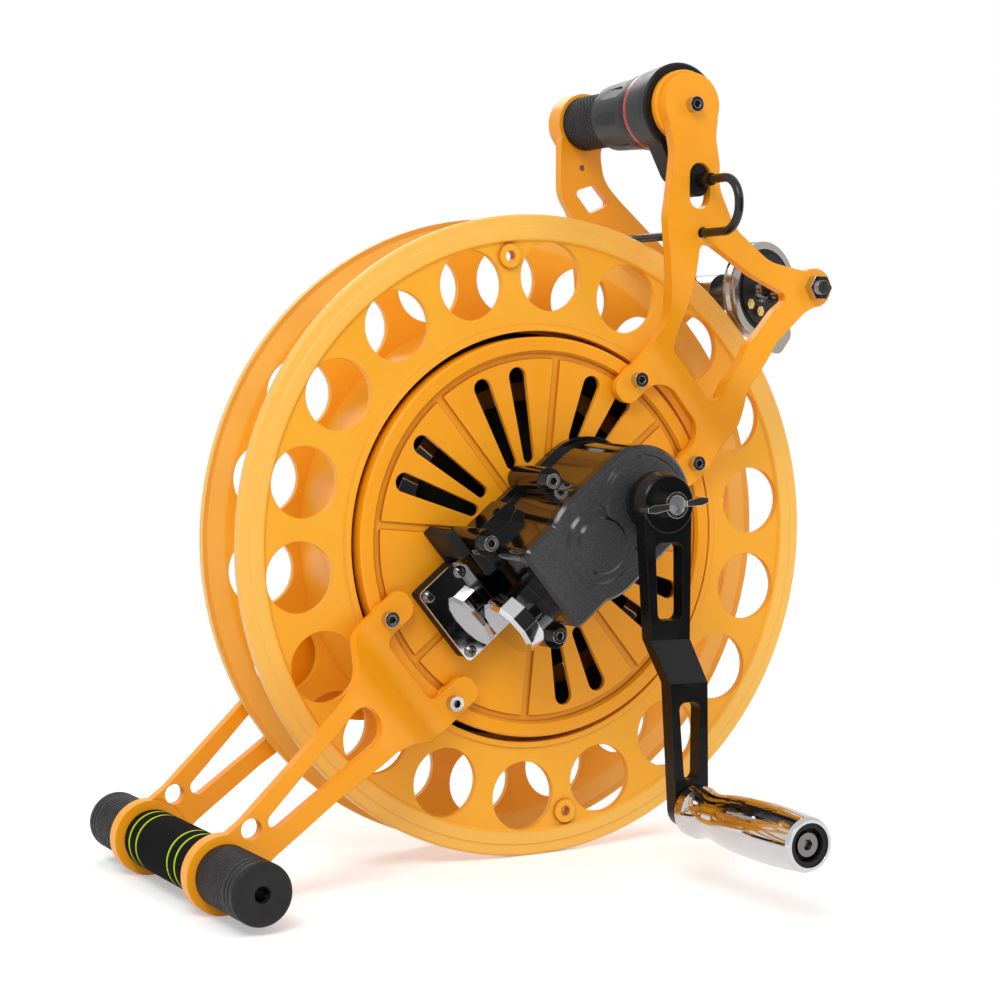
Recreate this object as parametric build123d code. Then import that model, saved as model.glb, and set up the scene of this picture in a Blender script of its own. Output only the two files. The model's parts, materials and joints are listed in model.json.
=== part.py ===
from build123d import *
import math
import os

os.makedirs("parts", exist_ok=True)

# Kite line winder: a wide spool on a lying shaft, carried by two moulded side
# covers. A foot bar and a twist-grip handle join the two sides, and a crank
# drives the spool through a pair of gears. All lengths are in millimetres.
# While it is drawn, the spool axis is the Y axis, the front flange starts at
# Y = 0 and the crank side faces -Y. The finished model is turned a little about
# that axis, so that it stands on its flanges and foot rings, and is moved so
# that the origin lies on the floor under the middle of its bounding box.

# ---- driving dimensions ------------------------------------------------------
CANT = 40.0                  # machine axis: foot, gears and guide lie along it
RUNNING_FIT = 0.05           # radial clearance of a bore that turns on its shaft
SEAT_GAP = 0.3               # gap between parts of different moving bodies

# side covers
COVER_R = 112.0
COVER_FACE = -3.0
COVER_T = 3.0
COVER_RIM_W = 7.5
COVER_RIM_H = 1.6
COVER_SKIRT = 9.0
COVER_RIBS = 8
GROOVE_W = 4.6
GROOVE_DEPTH = 1.4
RING_GROOVE_R = COVER_R - 10.5
RING_GROOVE_W = 3.4
SLOT_OUTER_R = COVER_R - 21.0
SLOT_INNER_R = 46.0
SLOT_SHORT_R = 60.0
SLOT_WIDE = 5.4
SLOT_NARROW = 3.6
SLOT_SPREAD = 7.2
SIDE_SCREW_R = COVER_R - 6.0
SIDE_SCREW_ANGLE = 17.0      # screws lie this far each side of the machine axis
PAD_R = 9.0

# spool
WHEEL_R = 180.0
SPOOL_WIDTH = 58.5
COVER_GAP = 3.4              # running gap between a cover and its flange's bore
DRUM_STEP = 7.1              # the drum stands this far outside the flange bore
WEB_RECESS = 1.4             # flange web behind the rim face
WEB_T = 4.0
RIM_W = 14.0
RIM_DEPTH = 7.0
RIM_STEP = 0.8
LIP_W = 3.0
SPOOL_BORE_R = COVER_R + COVER_GAP
DRUM_R = SPOOL_BORE_R + DRUM_STEP
DRUM_WALL = 4.0
HOLE_COUNT = 18
HOLE_R = 19.4
HOLE_SHIFT = 1.75            # the holes lie this far outside the web's middle
HOLE_PITCH_R = (DRUM_R + WHEEL_R - RIM_W) / 2 + HOLE_SHIFT
HOLE_PHASE = 7.4             # angle of the first hole above the machine axis
TIE_R = 3.0                  # line tie hole and its boss
TIE_BOSS_R = 6.6
TIE_PITCH_R = WHEEL_R - 22.5
HUB_WEB_T = 4.0
HUB_BOSS_R = 25.0
HUB_BOSS_LENGTH = 26.0
HUB_RIBS = 9
HUB_RIB_T = 3.0
HUB_RIB_H = 9.0
LEDGE = 4.0                  # ledge inside the drum that the hub's web sits on

# chromed rings inside the spool: one in front of the hub, the brake drum behind
RING_R = 86.9
RING_INNER_R = 76.4
RING_FRONT = 10.0
RING_T = 2.5
DRUM_REAR = SPOOL_WIDTH - 9.5

# brake on the rear cover: a shoe on a lever, pulled by the cable
BRAKE_PIVOT_ANGLE = 85.0
BRAKE_SHAFT_R = 3.2
BRAKE_ARM_R = 6.4            # round end of the shoe's arm at its pivot
BRAKE_LEVER = 24.0           # pivot to cable nipple
BRAKE_LEVER_T = 3.5
SHOE_GAP = 3.2
SHOE_T = 4.5
SHOE_FROM = 52.0             # the shoe's span round the drum
SHOE_TO = 70.0
SHOE_FRONT = SPOOL_WIDTH / 2 + HUB_WEB_T + 2.75
SHOE_W = 11.0
BRAKE_PIVOT_R = RING_R + SHOE_GAP + SHOE_T + 3.4
WIRE_R = 0.8

# shafts and bearings
SHAFT_R = 7.5
SHAFT_NOSE_R = 5.0
BEARING_R = 17.5
BEARING_W = 11.0
CRANK_SHAFT_R = 5.0
CRANK_BEARING_R = 11.0
CRANK_BEARING_W = 7.0

# gears
GEAR_MODULE = 1.0
GEAR_TEETH = 54
PINION_TEETH = 17
GEAR_T = 9.0
GEAR_BACK = -45.0
BACKLASH = 0.12

# frame plates
TAB_FACE = -10.0
TAB_BACK = -5.5
PLATE_FACE = -45.0
PLATE_T = 6.5
RAMP_START = COVER_R + 6.0   # the plates slope outward from here
RAMP_END = RAMP_START + 28.0
INNER_BEND_R = 20.0
OUTER_BEND_R = 40.0
FAR_FOOT_FACE = SPOOL_WIDTH + 11.5
FAR_FOOT_T = 6.5
FAR_PLATE_T = 6.5
FAR_PLATE_FACE = FAR_FOOT_FACE + FAR_PLATE_T
TAB_HALF = 8.4               # half the width of a screw tab
TAB_TIP = 16.9               # from the screw to the tab's end

# foot bar
BAR_X = -204.7
BAR_Z = -163.8
BAR_FRONT = -94.0
BAR_REAR = FAR_FOOT_FACE + 48.0
BAR_R = 11.0
BAR_WALL = 2.5
FOOT_RING_R = 20.5
FOOT_RING_T = 8.5
FOAM_R = 16.0
GRIP_R = 16.2
GRIP_END_HOLE_R = 4.2
GRIP_CAP_T = 5.0
STRAP_HOLE_R = 5.6
STRAP_HOLE_E = -236.9        # the strap hole's place along and across the axis
STRAP_HOLE_N = 14.1

# handle
HANDLE_X = 68.5
HANDLE_Z = 241.0
HEAD_R = 17.8
HANDLE_ROD_R = 8.0
FAR_HEAD_T = 13.0
COLLAR_R = 20.0
COLLAR_T = 5.0
HOUSING_R = 24.5
HOUSING_REAR_R = 22.6
HOUSING_LENGTH = 23.0
SHIFT_RING_R = 22.2
SHIFT_RING_T = 2.6
BARREL_R = 21.6
BARREL_TAIL_R = 19.0
BARREL_LENGTH = 40.0
BARREL_HOLLOWS = 8
HANDLE_GRIP_R = 15.9

# line guide
GUIDE_R = 28.8
GUIDE_GAP = 1.9              # between the guide wheel and the spool's rim
GUIDE_ANGLE = 42.73
GUIDE_X = (WHEEL_R + GUIDE_R + GUIDE_GAP) * math.cos(math.radians(GUIDE_ANGLE))
GUIDE_Z = (WHEEL_R + GUIDE_R + GUIDE_GAP) * math.sin(math.radians(GUIDE_ANGLE))
GUIDE_BOSS_R = 11.0
GUIDE_AXLE_R = 4.0
GUIDE_Y = 10.0
GUIDE_TURN = 15.6            # the guide wheel is swivelled this far off square

# gearbox and crank
CRANK_RADIUS = 159.0
BOX_FRONT = -60.0
BOX_FACE = -67.0
BOX_R = 31.0

screw_angles = [CANT + 180 - SIDE_SCREW_ANGLE, CANT + 180 + SIDE_SCREW_ANGLE,
                CANT - SIDE_SCREW_ANGLE, CANT + SIDE_SCREW_ANGLE]
TAB_E = SIDE_SCREW_R * math.cos(math.radians(SIDE_SCREW_ANGLE))
TAB_N = SIDE_SCREW_R * math.sin(math.radians(SIDE_SCREW_ANGLE))
GEAR_PITCH_R = GEAR_MODULE * GEAR_TEETH / 2
PINION_PITCH_R = GEAR_MODULE * PINION_TEETH / 2
GEAR_CENTRES = GEAR_PITCH_R + PINION_PITCH_R
CRANK_X = GEAR_CENTRES * math.cos(math.radians(CANT))
CRANK_Z = GEAR_CENTRES * math.sin(math.radians(CANT))
# turn about the spool axis that sets the foot rings and the flanges on one floor
BAR_REACH = math.hypot(BAR_X, BAR_Z)
REST_TURN = math.degrees(math.atan2(-BAR_Z, -BAR_X) - math.asin((WHEEL_R - FOOT_RING_R) / BAR_REACH))


# ---- drawing helpers ---------------------------------------------------------
def polar(radius, angle):
    """Point in the wheel's plane at a radius and an angle in degrees."""
    turn = math.radians(angle)
    return radius * math.cos(turn), radius * math.sin(turn)


def slab(outline, front, back):
    """Extrude an outline drawn in the X-Z plane from Y = front to Y = back."""
    plane = Plane(origin=(0, back, 0), x_dir=(1, 0, 0), z_dir=(0, -1, 0))
    return plane * extrude(outline, back - front)


def canted(outline):
    """Turn an outline drawn along the machine axis into the wheel's plane."""
    return Rot(0, 0, CANT) * outline


def disc(x, z, radius, front, back):
    return slab(Pos(x, z) * Circle(radius), front, back)


def tube(x, z, outer, inner, front, back):
    return slab(Pos(x, z) * (Circle(outer) - Circle(inner)), front, back)


def turned(points, x=0, z=0):
    """Turn a profile of (radius, Y) points about an axis parallel to Y."""
    face = make_face(Polyline(*points, close=True))
    return Pos(x, 0, z) * revolve(face, Axis.Y)


def rounded_bar(x0, z0, r0, x1, z1, r1):
    """Outline of a tapered bar with a round end at each of two centres."""
    return make_hull(edges_of(x0, z0, r0) + edges_of(x1, z1, r1))


def edges_of(x, z, radius):
    return (Pos(x, z) * Circle(radius)).edges()


def blend_outline(points, radii):
    """Closed outline through points with an arc of the given radius at each."""
    path = FilletPolyline(*points, radius=radii, close=True)
    return make_face(path)


def socket_screw(x, z, seat, grip, thread_r=2.5, head_r=4.25, head_h=5.0):
    """Socket-head screw whose head stands on Y = seat and points to -Y."""
    head = disc(x, z, head_r, seat - head_h, seat)
    key = slab(Pos(x, z) * RegularPolygon(thread_r * 0.92, 6), seat - head_h, seat - head_h / 2)
    return head - key + disc(x, z, thread_r, seat, seat + grip)


def hex_nut(x, z, across, front, back, bore):
    return slab(Pos(x, z) * (RegularPolygon(across / math.sqrt(3), 6) - Circle(bore)), front, back)


def group(pieces):
    return Compound(children=list(pieces))


# ---- spool -------------------------------------------------------------------
def flange(rim_at, inward):
    """One flange; inward is +1 or -1, the way from its rim face to the drum."""
    web = rim_at + inward * WEB_RECESS
    inner = web + inward * WEB_T
    step = rim_at + inward * RIM_STEP
    profile = [
        (SPOOL_BORE_R, rim_at),
        (SPOOL_BORE_R + LIP_W, rim_at),
        (SPOOL_BORE_R + LIP_W + 0.8, web),
        (WHEEL_R - RIM_W - 1.4, web),
        (WHEEL_R - RIM_W, rim_at),
        (WHEEL_R - RIM_W / 2, rim_at),
        (WHEEL_R - RIM_W / 2 + 0.8, step),
        (WHEEL_R - 1.2, step),
        (WHEEL_R, step + inward * 1.2),
        (WHEEL_R, rim_at + inward * RIM_DEPTH),
        (WHEEL_R - 3.0, inner),
        (SPOOL_BORE_R, inner),
    ]
    body = turned(profile)
    low, high = sorted((rim_at - inward, inner + inward))
    for index in range(HOLE_COUNT):
        x, z = polar(HOLE_PITCH_R, CANT + HOLE_PHASE + index * 360 / HOLE_COUNT)
        body -= disc(x, z, HOLE_R, low, high)
    return body


def spool_flange_front():
    body = flange(0.0, 1)
    for index in (0, 1):
        x, z = polar(TIE_PITCH_R, CANT + HOLE_PHASE + 180 / HOLE_COUNT + 40 + 180 * index)
        body += disc(x, z, TIE_BOSS_R, -0.6, WEB_RECESS + WEB_T)
        body -= disc(x, z, TIE_R, -2, WEB_RECESS + WEB_T + 2)
    return body


def spool_flange_rear():
    return flange(SPOOL_WIDTH, -1)


def spool_drum():
    """Tube between the flanges, with the ledge that carries the hub's web."""
    front = WEB_RECESS + WEB_T
    middle = SPOOL_WIDTH / 2
    wall = DRUM_R - DRUM_WALL
    return turned([(wall, front), (DRUM_R, front), (DRUM_R, SPOOL_WIDTH - front), (wall, SPOOL_WIDTH - front),
                   (wall, middle), (wall - LEDGE, middle), (wall - LEDGE, middle - LEDGE), (wall, middle - LEDGE)])


def spool_hub():
    """Dark web that carries the drum on the shaft, with ribs on its front."""
    front = SPOOL_WIDTH / 2
    back = front + HUB_WEB_T
    outer = DRUM_R - DRUM_WALL
    boss_front = front - HUB_BOSS_LENGTH / 2
    boss_back = front + HUB_BOSS_LENGTH / 2
    body = turned([(SHAFT_R, boss_front), (HUB_BOSS_R, boss_front), (HUB_BOSS_R, front), (outer, front),
                   (outer, back), (HUB_BOSS_R, back), (HUB_BOSS_R, boss_back), (SHAFT_R, boss_back)])
    span = RING_INNER_R - HUB_BOSS_R - 3
    rib = Pos(HUB_BOSS_R - 1 + span / 2, 0) * Rectangle(span, HUB_RIB_T)
    for index in range(HUB_RIBS):
        body += slab(Rot(0, 0, index * 360 / HUB_RIBS + 12) * rib, front - HUB_RIB_H, front + 1)
    return body


def cup_ring(front, back):
    """Chromed cup of folded sheet with its lip at front, open towards back."""
    way = 1 if back > front else -1
    return turned([(RING_INNER_R, front), (RING_R, front), (RING_R, back), (RING_R - RING_T, back),
                   (RING_R - RING_T, front + way * RING_T), (RING_INNER_R, front + way * RING_T)])


def brake_rings():
    return group([cup_ring(RING_FRONT, SPOOL_WIDTH / 2),
                  cup_ring(DRUM_REAR, SPOOL_WIDTH / 2 + HUB_WEB_T)])


# ---- gears and shafts --------------------------------------------------------
def spur_gear(teeth, bore, x, z, turn, front, back):
    """Spur gear with straight-flanked teeth of full depth and a rounded count."""
    pitch_r = GEAR_MODULE * teeth / 2
    root_r = pitch_r - 1.25 * GEAR_MODULE
    tip_r = pitch_r + GEAR_MODULE
    half = math.pi * GEAR_MODULE / 4 - BACKLASH
    slope = math.tan(math.radians(20))
    tooth = make_face(Polyline(
        (root_r - 0.4, half + 1.25 * GEAR_MODULE * slope), (tip_r, half - GEAR_MODULE * slope),
        (tip_r, -half + GEAR_MODULE * slope), (root_r - 0.4, -half - 1.25 * GEAR_MODULE * slope), close=True))
    outline = Circle(root_r)
    for index in range(teeth):
        outline += Rot(0, 0, turn + index * 360 / teeth) * tooth
    return slab(Pos(x, z) * (outline - Circle(bore)), front, back)


def drive_gear():
    """Large gear on the crank shaft, lightened by six round windows."""
    front = GEAR_BACK - GEAR_T
    body = spur_gear(GEAR_TEETH, CRANK_SHAFT_R, CRANK_X, CRANK_Z, CANT + 180, front, GEAR_BACK)
    for index in range(6):
        x, z = polar(GEAR_PITCH_R * 0.62, index * 60)
        body -= disc(CRANK_X + x, CRANK_Z + z, GEAR_PITCH_R * 0.17, front - 1, GEAR_BACK + 1)
    return body


def spool_pinion():
    """Small gear on the shaft's nose; one tooth gap faces the drive gear."""
    return spur_gear(PINION_TEETH, SHAFT_NOSE_R, 0, 0, CANT + 180 / PINION_TEETH, GEAR_BACK - GEAR_T, GEAR_BACK)


def spool_shaft():
    """Shaft through the hub; its thin nose carries the pinion."""
    rear = FAR_FOOT_FACE - 2.0
    shaft = disc(0, 0, SHAFT_R, GEAR_BACK, rear)
    shaft += disc(0, 0, SHAFT_NOSE_R, BOX_FRONT + 1.0, GEAR_BACK)
    return chamfer(shaft.edges().filter_by(GeomType.CIRCLE).sort_by(Axis.Y)[-1], 1.0)


def ball_bearing(x, z, outer, bore, front, back):
    """Closed bearing, drawn as one ring."""
    return tube(x, z, outer, bore, front, back)


def spool_bearings():
    front_at = COVER_FACE + COVER_T
    rear_at = SPOOL_WIDTH - front_at - BEARING_W
    bore = SHAFT_R + RUNNING_FIT
    return group([ball_bearing(0, 0, BEARING_R, bore, front_at, front_at + BEARING_W),
                  ball_bearing(0, 0, BEARING_R, bore, rear_at, rear_at + BEARING_W)])


# ---- side covers -------------------------------------------------------------
def tapered_slot(angle, inner_r, outer_r):
    return Rot(0, 0, angle) * rounded_bar(inner_r, 0, SLOT_NARROW, outer_r, 0, SLOT_WIDE)


def cover_slots():
    """Pairs of slots in six of the eight sectors; the foot sectors stay plain."""
    pitch = 360 / COVER_RIBS
    inner = {0: SLOT_SHORT_R, 1: SLOT_INNER_R, 2: SLOT_INNER_R, 5: SLOT_SHORT_R, 6: SLOT_SHORT_R, 7: SLOT_SHORT_R}
    slots = []
    for sector, inner_r in inner.items():
        middle = CANT + (sector + 0.5) * pitch
        for side in (-1, 1):
            slots.append(tapered_slot(middle + side * SLOT_SPREAD, inner_r, SLOT_OUTER_R))
    return slots


def side_cover(face, inward, seats):
    """Moulded disc with a raised rim, a skirt, grooves between its sectors and a
    bearing seat; seats maps a screw angle to the height of its pad."""
    back = face + inward * COVER_T
    rim = face - inward * COVER_RIM_H
    seat_back = back + inward * BEARING_W
    profile = [
        (0, face), (COVER_R - COVER_RIM_W - 0.8, face), (COVER_R - COVER_RIM_W, rim),
        (COVER_R - 1.0, rim), (COVER_R, rim + inward * 1.0), (COVER_R, face + inward * COVER_SKIRT),
        (COVER_R - 3, face + inward * COVER_SKIRT), (COVER_R - 3, back),
        (BEARING_R + 4, back), (BEARING_R + 4, seat_back), (BEARING_R, seat_back), (BEARING_R, back),
        (0, back),
    ]
    body = turned(profile)
    body -= disc(0, 0, SHAFT_R + 1.0, min(face, back) - 5, max(face, back) + 5)
    floor = face + inward * GROOVE_DEPTH
    low, high = sorted((floor, face - inward))
    body -= tube(0, 0, RING_GROOVE_R + RING_GROOVE_W / 2, RING_GROOVE_R - RING_GROOVE_W / 2, low, high)
    groove = Pos((RING_GROOVE_R + 34) / 2, 0) * Rectangle(RING_GROOVE_R - 34, GROOVE_W)
    for index in range(COVER_RIBS):
        body -= slab(Rot(0, 0, CANT + index * 360 / COVER_RIBS) * groove, low, high)
    for slot in cover_slots():
        body -= slab(slot, min(face, back) - 2, max(face, back) + 2)
    for angle, seat in seats.items():
        x, z = polar(SIDE_SCREW_R, angle)
        pad = disc(x, z, PAD_R, min(seat, face + inward * COVER_SKIRT), max(seat, face + inward * COVER_SKIRT))
        limit = disc(0, 0, COVER_R, min(seat, back) - 20, max(seat, back) + 20)
        body += pad & limit
        body -= disc(x, z, 2.5, min(seat, back) - 20, max(seat, back) + 20)
    return body


def side_cover_front():
    body = side_cover(COVER_FACE, 1, {angle: TAB_BACK for angle in screw_angles})
    for e, n in box_screws():
        x, z = along(e, n)
        body -= disc(x, z, 2.5, COVER_FACE - 6, COVER_FACE + COVER_T + 1)
    return body


def side_cover_rear():
    face = SPOOL_WIDTH - COVER_FACE
    foot_seat = FAR_FOOT_FACE - FAR_FOOT_T
    plate_seat = FAR_PLATE_FACE - FAR_PLATE_T
    seats = {}
    for index, angle in enumerate(screw_angles):
        seats[angle] = foot_seat if index < 2 else plate_seat
    body = side_cover(face, -1, seats)
    body += disc(TIP_X, PIVOT_Z, BRAKE_SHAFT_R + 4.0, face - COVER_T - 5.0, face)
    return body - disc(TIP_X, PIVOT_Z, BRAKE_SHAFT_R + RUNNING_FIT, face - 12, face + 3)


def along(e, n):
    """Point given along (e) and across (n) the machine axis."""
    turn = math.radians(CANT)
    return e * math.cos(turn) - n * math.sin(turn), e * math.sin(turn) + n * math.cos(turn)


# ---- frame plates ------------------------------------------------------------
def ramp_slab(outline, sign, thickness):
    """Plate whose tabs lie flat on the cover and whose far end stands out at
    PLATE_FACE; sign is the way along the machine axis that it points."""
    side = [
        (0, TAB_FACE), (RAMP_START, TAB_FACE), (RAMP_END, PLATE_FACE), (400, PLATE_FACE),
        (400, PLATE_FACE + thickness), (RAMP_END + 2.5, PLATE_FACE + thickness),
        (RAMP_START + 2.5, TAB_BACK), (0, TAB_BACK),
    ]
    bends = [0, INNER_BEND_R, OUTER_BEND_R, 0, 0, OUTER_BEND_R - 5, INNER_BEND_R + 5, 0]
    path = FilletPolyline(*[(sign * e, y) for e, y in side], radius=bends, close=True)
    face = make_face(path)
    bend = Pos(0, 0, -400) * extrude(face, 800)
    bend = Rot(0, -CANT, 0) * bend
    return slab(outline, PLATE_FACE - 1, TAB_BACK + 1) & bend


def foot_outline(ring_r):
    """Foot arm seen from the side, along the machine axis: two tabs, a waist
    that narrows to one side, and the ring round the bar."""
    tip = TAB_TIP - TAB_E
    side = TAB_N + TAB_HALF
    inside = TAB_N - TAB_HALF
    upper = [(tip, side), (tip - 40.5, side), (tip - 53.5, 31.5), (tip - 67.5, 27.5),
             (-180.0, 25.2), (-238.0, 20.5), (-253.0, 21.5)]
    lower = [(-253.0, -8.0), (-238.0, -6.0), (-190.0, -8.5), (tip - 67.5, -13.5), (tip - 55.5, -20.0),
             (tip - 43.5, -33.0), (tip - 29.5, -side), (tip, -side)]
    notch = [(tip, -inside), (tip - 26.0, -inside), (tip - 26.0, inside), (tip, inside)]
    radii = [6.0, 12.0, 14.0, 30.0, 60.0, 30.0, 4.0,
             4.0, 30.0, 40.0, 14.0, 16.0, 14.0, 8.0, 6.0,
             8.0, 5.5, 5.5, 8.0]
    body = blend_outline(upper + lower + notch, radii)
    e, n = bar_en()
    return body + Pos(e, n) * Circle(ring_r)


def bar_en():
    """The foot bar's place along and across the machine axis."""
    turn = math.radians(CANT)
    return (BAR_X * math.cos(turn) + BAR_Z * math.sin(turn),
            -BAR_X * math.sin(turn) + BAR_Z * math.cos(turn))


def foot_cuts():
    """Long opening, strap hole, bar hole and screw holes of a foot arm."""
    cuts = rounded_bar(-224.5, 8.0, 4.3, -157.5, 9.5, 10.7)
    cuts += Pos(STRAP_HOLE_E, STRAP_HOLE_N) * Circle(STRAP_HOLE_R)
    e, n = bar_en()
    cuts += Pos(e, n) * Circle(BAR_R)
    return cuts + side_screw_holes(-1)


def side_screw_holes(sign):
    e, n = polar(SIDE_SCREW_R, SIDE_SCREW_ANGLE)
    return Pos(sign * e, n) * Circle(2.5) + Pos(sign * e, -n) * Circle(2.5)


def foot_arm_front():
    body = ramp_slab(canted(foot_outline(FOOT_RING_R)), -1, PLATE_T)
    body += disc(BAR_X, BAR_Z, FOOT_RING_R, PLATE_FACE, PLATE_FACE + FOOT_RING_T)
    return body - slab(canted(foot_cuts()), PLATE_FACE - 2, 0)


def foot_arm_rear():
    back = FAR_FOOT_FACE
    body = slab(canted(foot_outline(FOOT_RING_R)), back - FAR_FOOT_T, back)
    body += disc(BAR_X, BAR_Z, FOOT_RING_R, back - FOOT_RING_T, back)
    return body - slab(canted(foot_cuts()), back - 20, back + 20)


def soft_outline(points, widest):
    """Closed outline whose corners are rounded as far as the sides allow."""
    radii = []
    count = len(points)
    for index in range(count):
        here = Vector(*points[index], 0)
        back = Vector(*points[index - 1], 0) - here
        ahead = Vector(*points[(index + 1) % count], 0) - here
        turn = math.radians(180 - back.get_angle(ahead))
        room = 0.45 * min(back.length, ahead.length)
        radii.append(min(widest, room / math.tan(turn / 2)))
    return blend_outline(points, radii)


def plate_tabs():
    """Corners of the two tabs and the cut between them, from left to right."""
    tip = TAB_E - TAB_TIP + 1.5
    side = TAB_N + TAB_HALF
    inside = TAB_N - TAB_HALF
    corners = [(tip + 22.0, side), (tip, side), (tip, inside), (tip + 30.0, inside),
               (tip + 30.0, -inside), (tip, -inside), (tip, -side), (tip + 22.0, -side - 1.0)]
    return [along(e, n) for e, n in corners]


def above_tabs():
    """The plate's edge between the handle arm and the upper tab."""
    return [along(TAB_E + 29.8, TAB_N + 19.1), along(TAB_E + 18.8, TAB_N + 10.4)]


def lower_strut():
    """Edge of the strut from the lower tab to the guide."""
    return [along(TAB_E + 27.7, 2.4 - TAB_N), (114.2, 84.0), (119.5, 95.4), (127.4, 109.7),
            (GUIDE_X - 6.9, GUIDE_Z - 14.0), (GUIDE_X + 5.2, GUIDE_Z - 9.0), (GUIDE_X + 5.2, GUIDE_Z + 8.0)]


def window():
    """Opening between the handle arm, the guide's two struts and the tabs."""
    corners = [(75.0, 164.5), (84.0, 164.5), (110.6, 148.7), (GUIDE_X - 17.6, GUIDE_Z - 5.8), (127.0, 129.5),
               (110.0, 109.4), along(TAB_E + 35.8, 1.7), along(TAB_E + 25.2, -11.2),
               along(TAB_E + 24.4, 32.8), (73.5, 120.5)]
    return soft_outline(corners, 9.0)


def upper_plate_front():
    """Cast side plate from the gearbox side: handle head, guide lobe, window."""
    upper = [(GUIDE_X - 8.8, GUIDE_Z + 9.3), (122.8, 156.5), (98.4, 174.5), (87.1, 197.0), (87.5, 209.0),
             (84.4, 224.0), (HANDLE_X + 17.8, HANDLE_Z), (HANDLE_X - 17.7, HANDLE_Z), (57.5, 215.4),
             (53.7, 179.6), (56.6, 166.1)]
    outline = soft_outline(plate_tabs() + lower_strut() + upper + above_tabs(), 24.0)
    outline += Pos(HANDLE_X, HANDLE_Z) * Circle(HEAD_R)
    outline += Pos(GUIDE_X, GUIDE_Z) * Circle(GUIDE_BOSS_R)
    outline -= window()
    outline -= rounded_bar(74.4, 190.7, 6.7, 74.4, 202.8, 6.7)
    outline -= Pos(CABLE_X, CABLE_Z) * Circle(CABLE_HOLE_R)
    outline -= Pos(HANDLE_X, HANDLE_Z) * Circle(2.5)
    outline -= Pos(GUIDE_X, GUIDE_Z) * Circle(GUIDE_AXLE_R)
    outline -= canted(side_screw_holes(1))
    return ramp_slab(outline, 1, PLATE_T)


def upper_plate_rear():
    """Flat side plate on the far side, with a slanted slot and a thick head."""
    upper = [(GUIDE_X - 8.8, GUIDE_Z + 11.0), (128.4, 167.4), (93.7, 196.4), (82.0, 207.7), (79.0, 225.0),
             (HANDLE_X + 15.5, HANDLE_Z - 5.0), (HANDLE_X - 16.5, HANDLE_Z), (52.4, 215.5), (52.6, 198.0),
             (61.4, 185.3), (66.0, 150.0)]
    outline = soft_outline(plate_tabs() + lower_strut() + upper + above_tabs(), 24.0)
    outline += Pos(HANDLE_X, HANDLE_Z) * Circle(HEAD_R)
    outline += Pos(GUIDE_X, GUIDE_Z) * Circle(GUIDE_BOSS_R)
    outline -= window()
    outline -= soft_outline([(61.5, 200.7), (76.6, 205.6), (87.2, 194.3), (72.8, 187.7)], 2.5)
    outline -= Pos(66.7, 214.8) * Circle(1.8)
    outline -= Pos(GUIDE_X, GUIDE_Z) * Circle(GUIDE_AXLE_R)
    outline -= canted(side_screw_holes(1))
    face = FAR_PLATE_FACE
    body = slab(outline, face - FAR_PLATE_T, face)
    body += disc(HANDLE_X, HANDLE_Z, HEAD_R, face - FAR_PLATE_T, face + FAR_HEAD_T - FAR_PLATE_T)
    body -= disc(HANDLE_X, HANDLE_Z, HANDLE_ROD_R, face - FAR_PLATE_T - 1, face)
    return body - disc(HANDLE_X, HANDLE_Z, 2.5, face - 1, face + FAR_HEAD_T)


def side_screws():
    """Four screws through each pair of tabs; heads point away from the spool."""
    screws = []
    for index, angle in enumerate(screw_angles):
        x, z = polar(SIDE_SCREW_R, angle)
        screws.append(socket_screw(x, z, TAB_FACE, 15.0))
        outer = FAR_FOOT_FACE if index < 2 else FAR_PLATE_FACE
        screws.append(mirror(socket_screw(x, z, -outer, outer - SPOOL_WIDTH + 4.5), about=Plane.XZ))
    return group(screws)


# ---- foot bar ----------------------------------------------------------------
def foot_bar_tube():
    front = BAR_FRONT + GRIP_CAP_T
    return tube(BAR_X, BAR_Z, BAR_R, BAR_R - BAR_WALL, front, BAR_REAR - GRIP_CAP_T)


def foot_grip(inner, outer):
    """Rubber grip from its inner end to the closed end with a vent hole."""
    way = 1 if outer > inner else -1
    cap = outer - way * GRIP_CAP_T
    profile = [(BAR_R, inner), (GRIP_R - 0.8, inner), (GRIP_R, inner + way * 0.8)]
    for groove in (cap - way * 5.0, cap - way * 1.0):
        profile += [(GRIP_R, groove - way * 1.0), (GRIP_R - 0.9, groove), (GRIP_R, groove + way * 1.0)]
    profile += [(GRIP_R, outer - way * 2.0), (GRIP_R - 2.0, outer),
                (GRIP_END_HOLE_R, outer), (GRIP_END_HOLE_R, cap), (BAR_R, cap)]
    return turned(profile, BAR_X, BAR_Z)


def foot_grip_front():
    return foot_grip(PLATE_FACE, BAR_FRONT)


def foot_grip_rear():
    return foot_grip(FAR_FOOT_FACE, BAR_REAR)


def foam_sleeve():
    return tube(BAR_X, BAR_Z, FOAM_R, BAR_R, PLATE_FACE + FOOT_RING_T, FAR_FOOT_FACE - FOOT_RING_T)


# ---- handle ------------------------------------------------------------------
COLLAR_FRONT = PLATE_FACE + PLATE_T
HOUSING_FRONT = COLLAR_FRONT + COLLAR_T
HOUSING_BACK = HOUSING_FRONT + HOUSING_LENGTH
BARREL_FRONT = HOUSING_BACK + SHIFT_RING_T + SEAT_GAP
GRIP_START = BARREL_FRONT + BARREL_LENGTH + SEAT_GAP
HANDLE_END = FAR_PLATE_FACE - FAR_PLATE_T


def handle_rod():
    return disc(HANDLE_X, HANDLE_Z, HANDLE_ROD_R, COLLAR_FRONT, FAR_PLATE_FACE)


def handle_screws():
    front = socket_screw(HANDLE_X, HANDLE_Z, PLATE_FACE, PLATE_T)
    rear = mirror(socket_screw(HANDLE_X, HANDLE_Z, -FAR_PLATE_FACE - FAR_HEAD_T + FAR_PLATE_T,
                               FAR_HEAD_T - FAR_PLATE_T), about=Plane.XZ)
    return group([front, rear])


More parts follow.
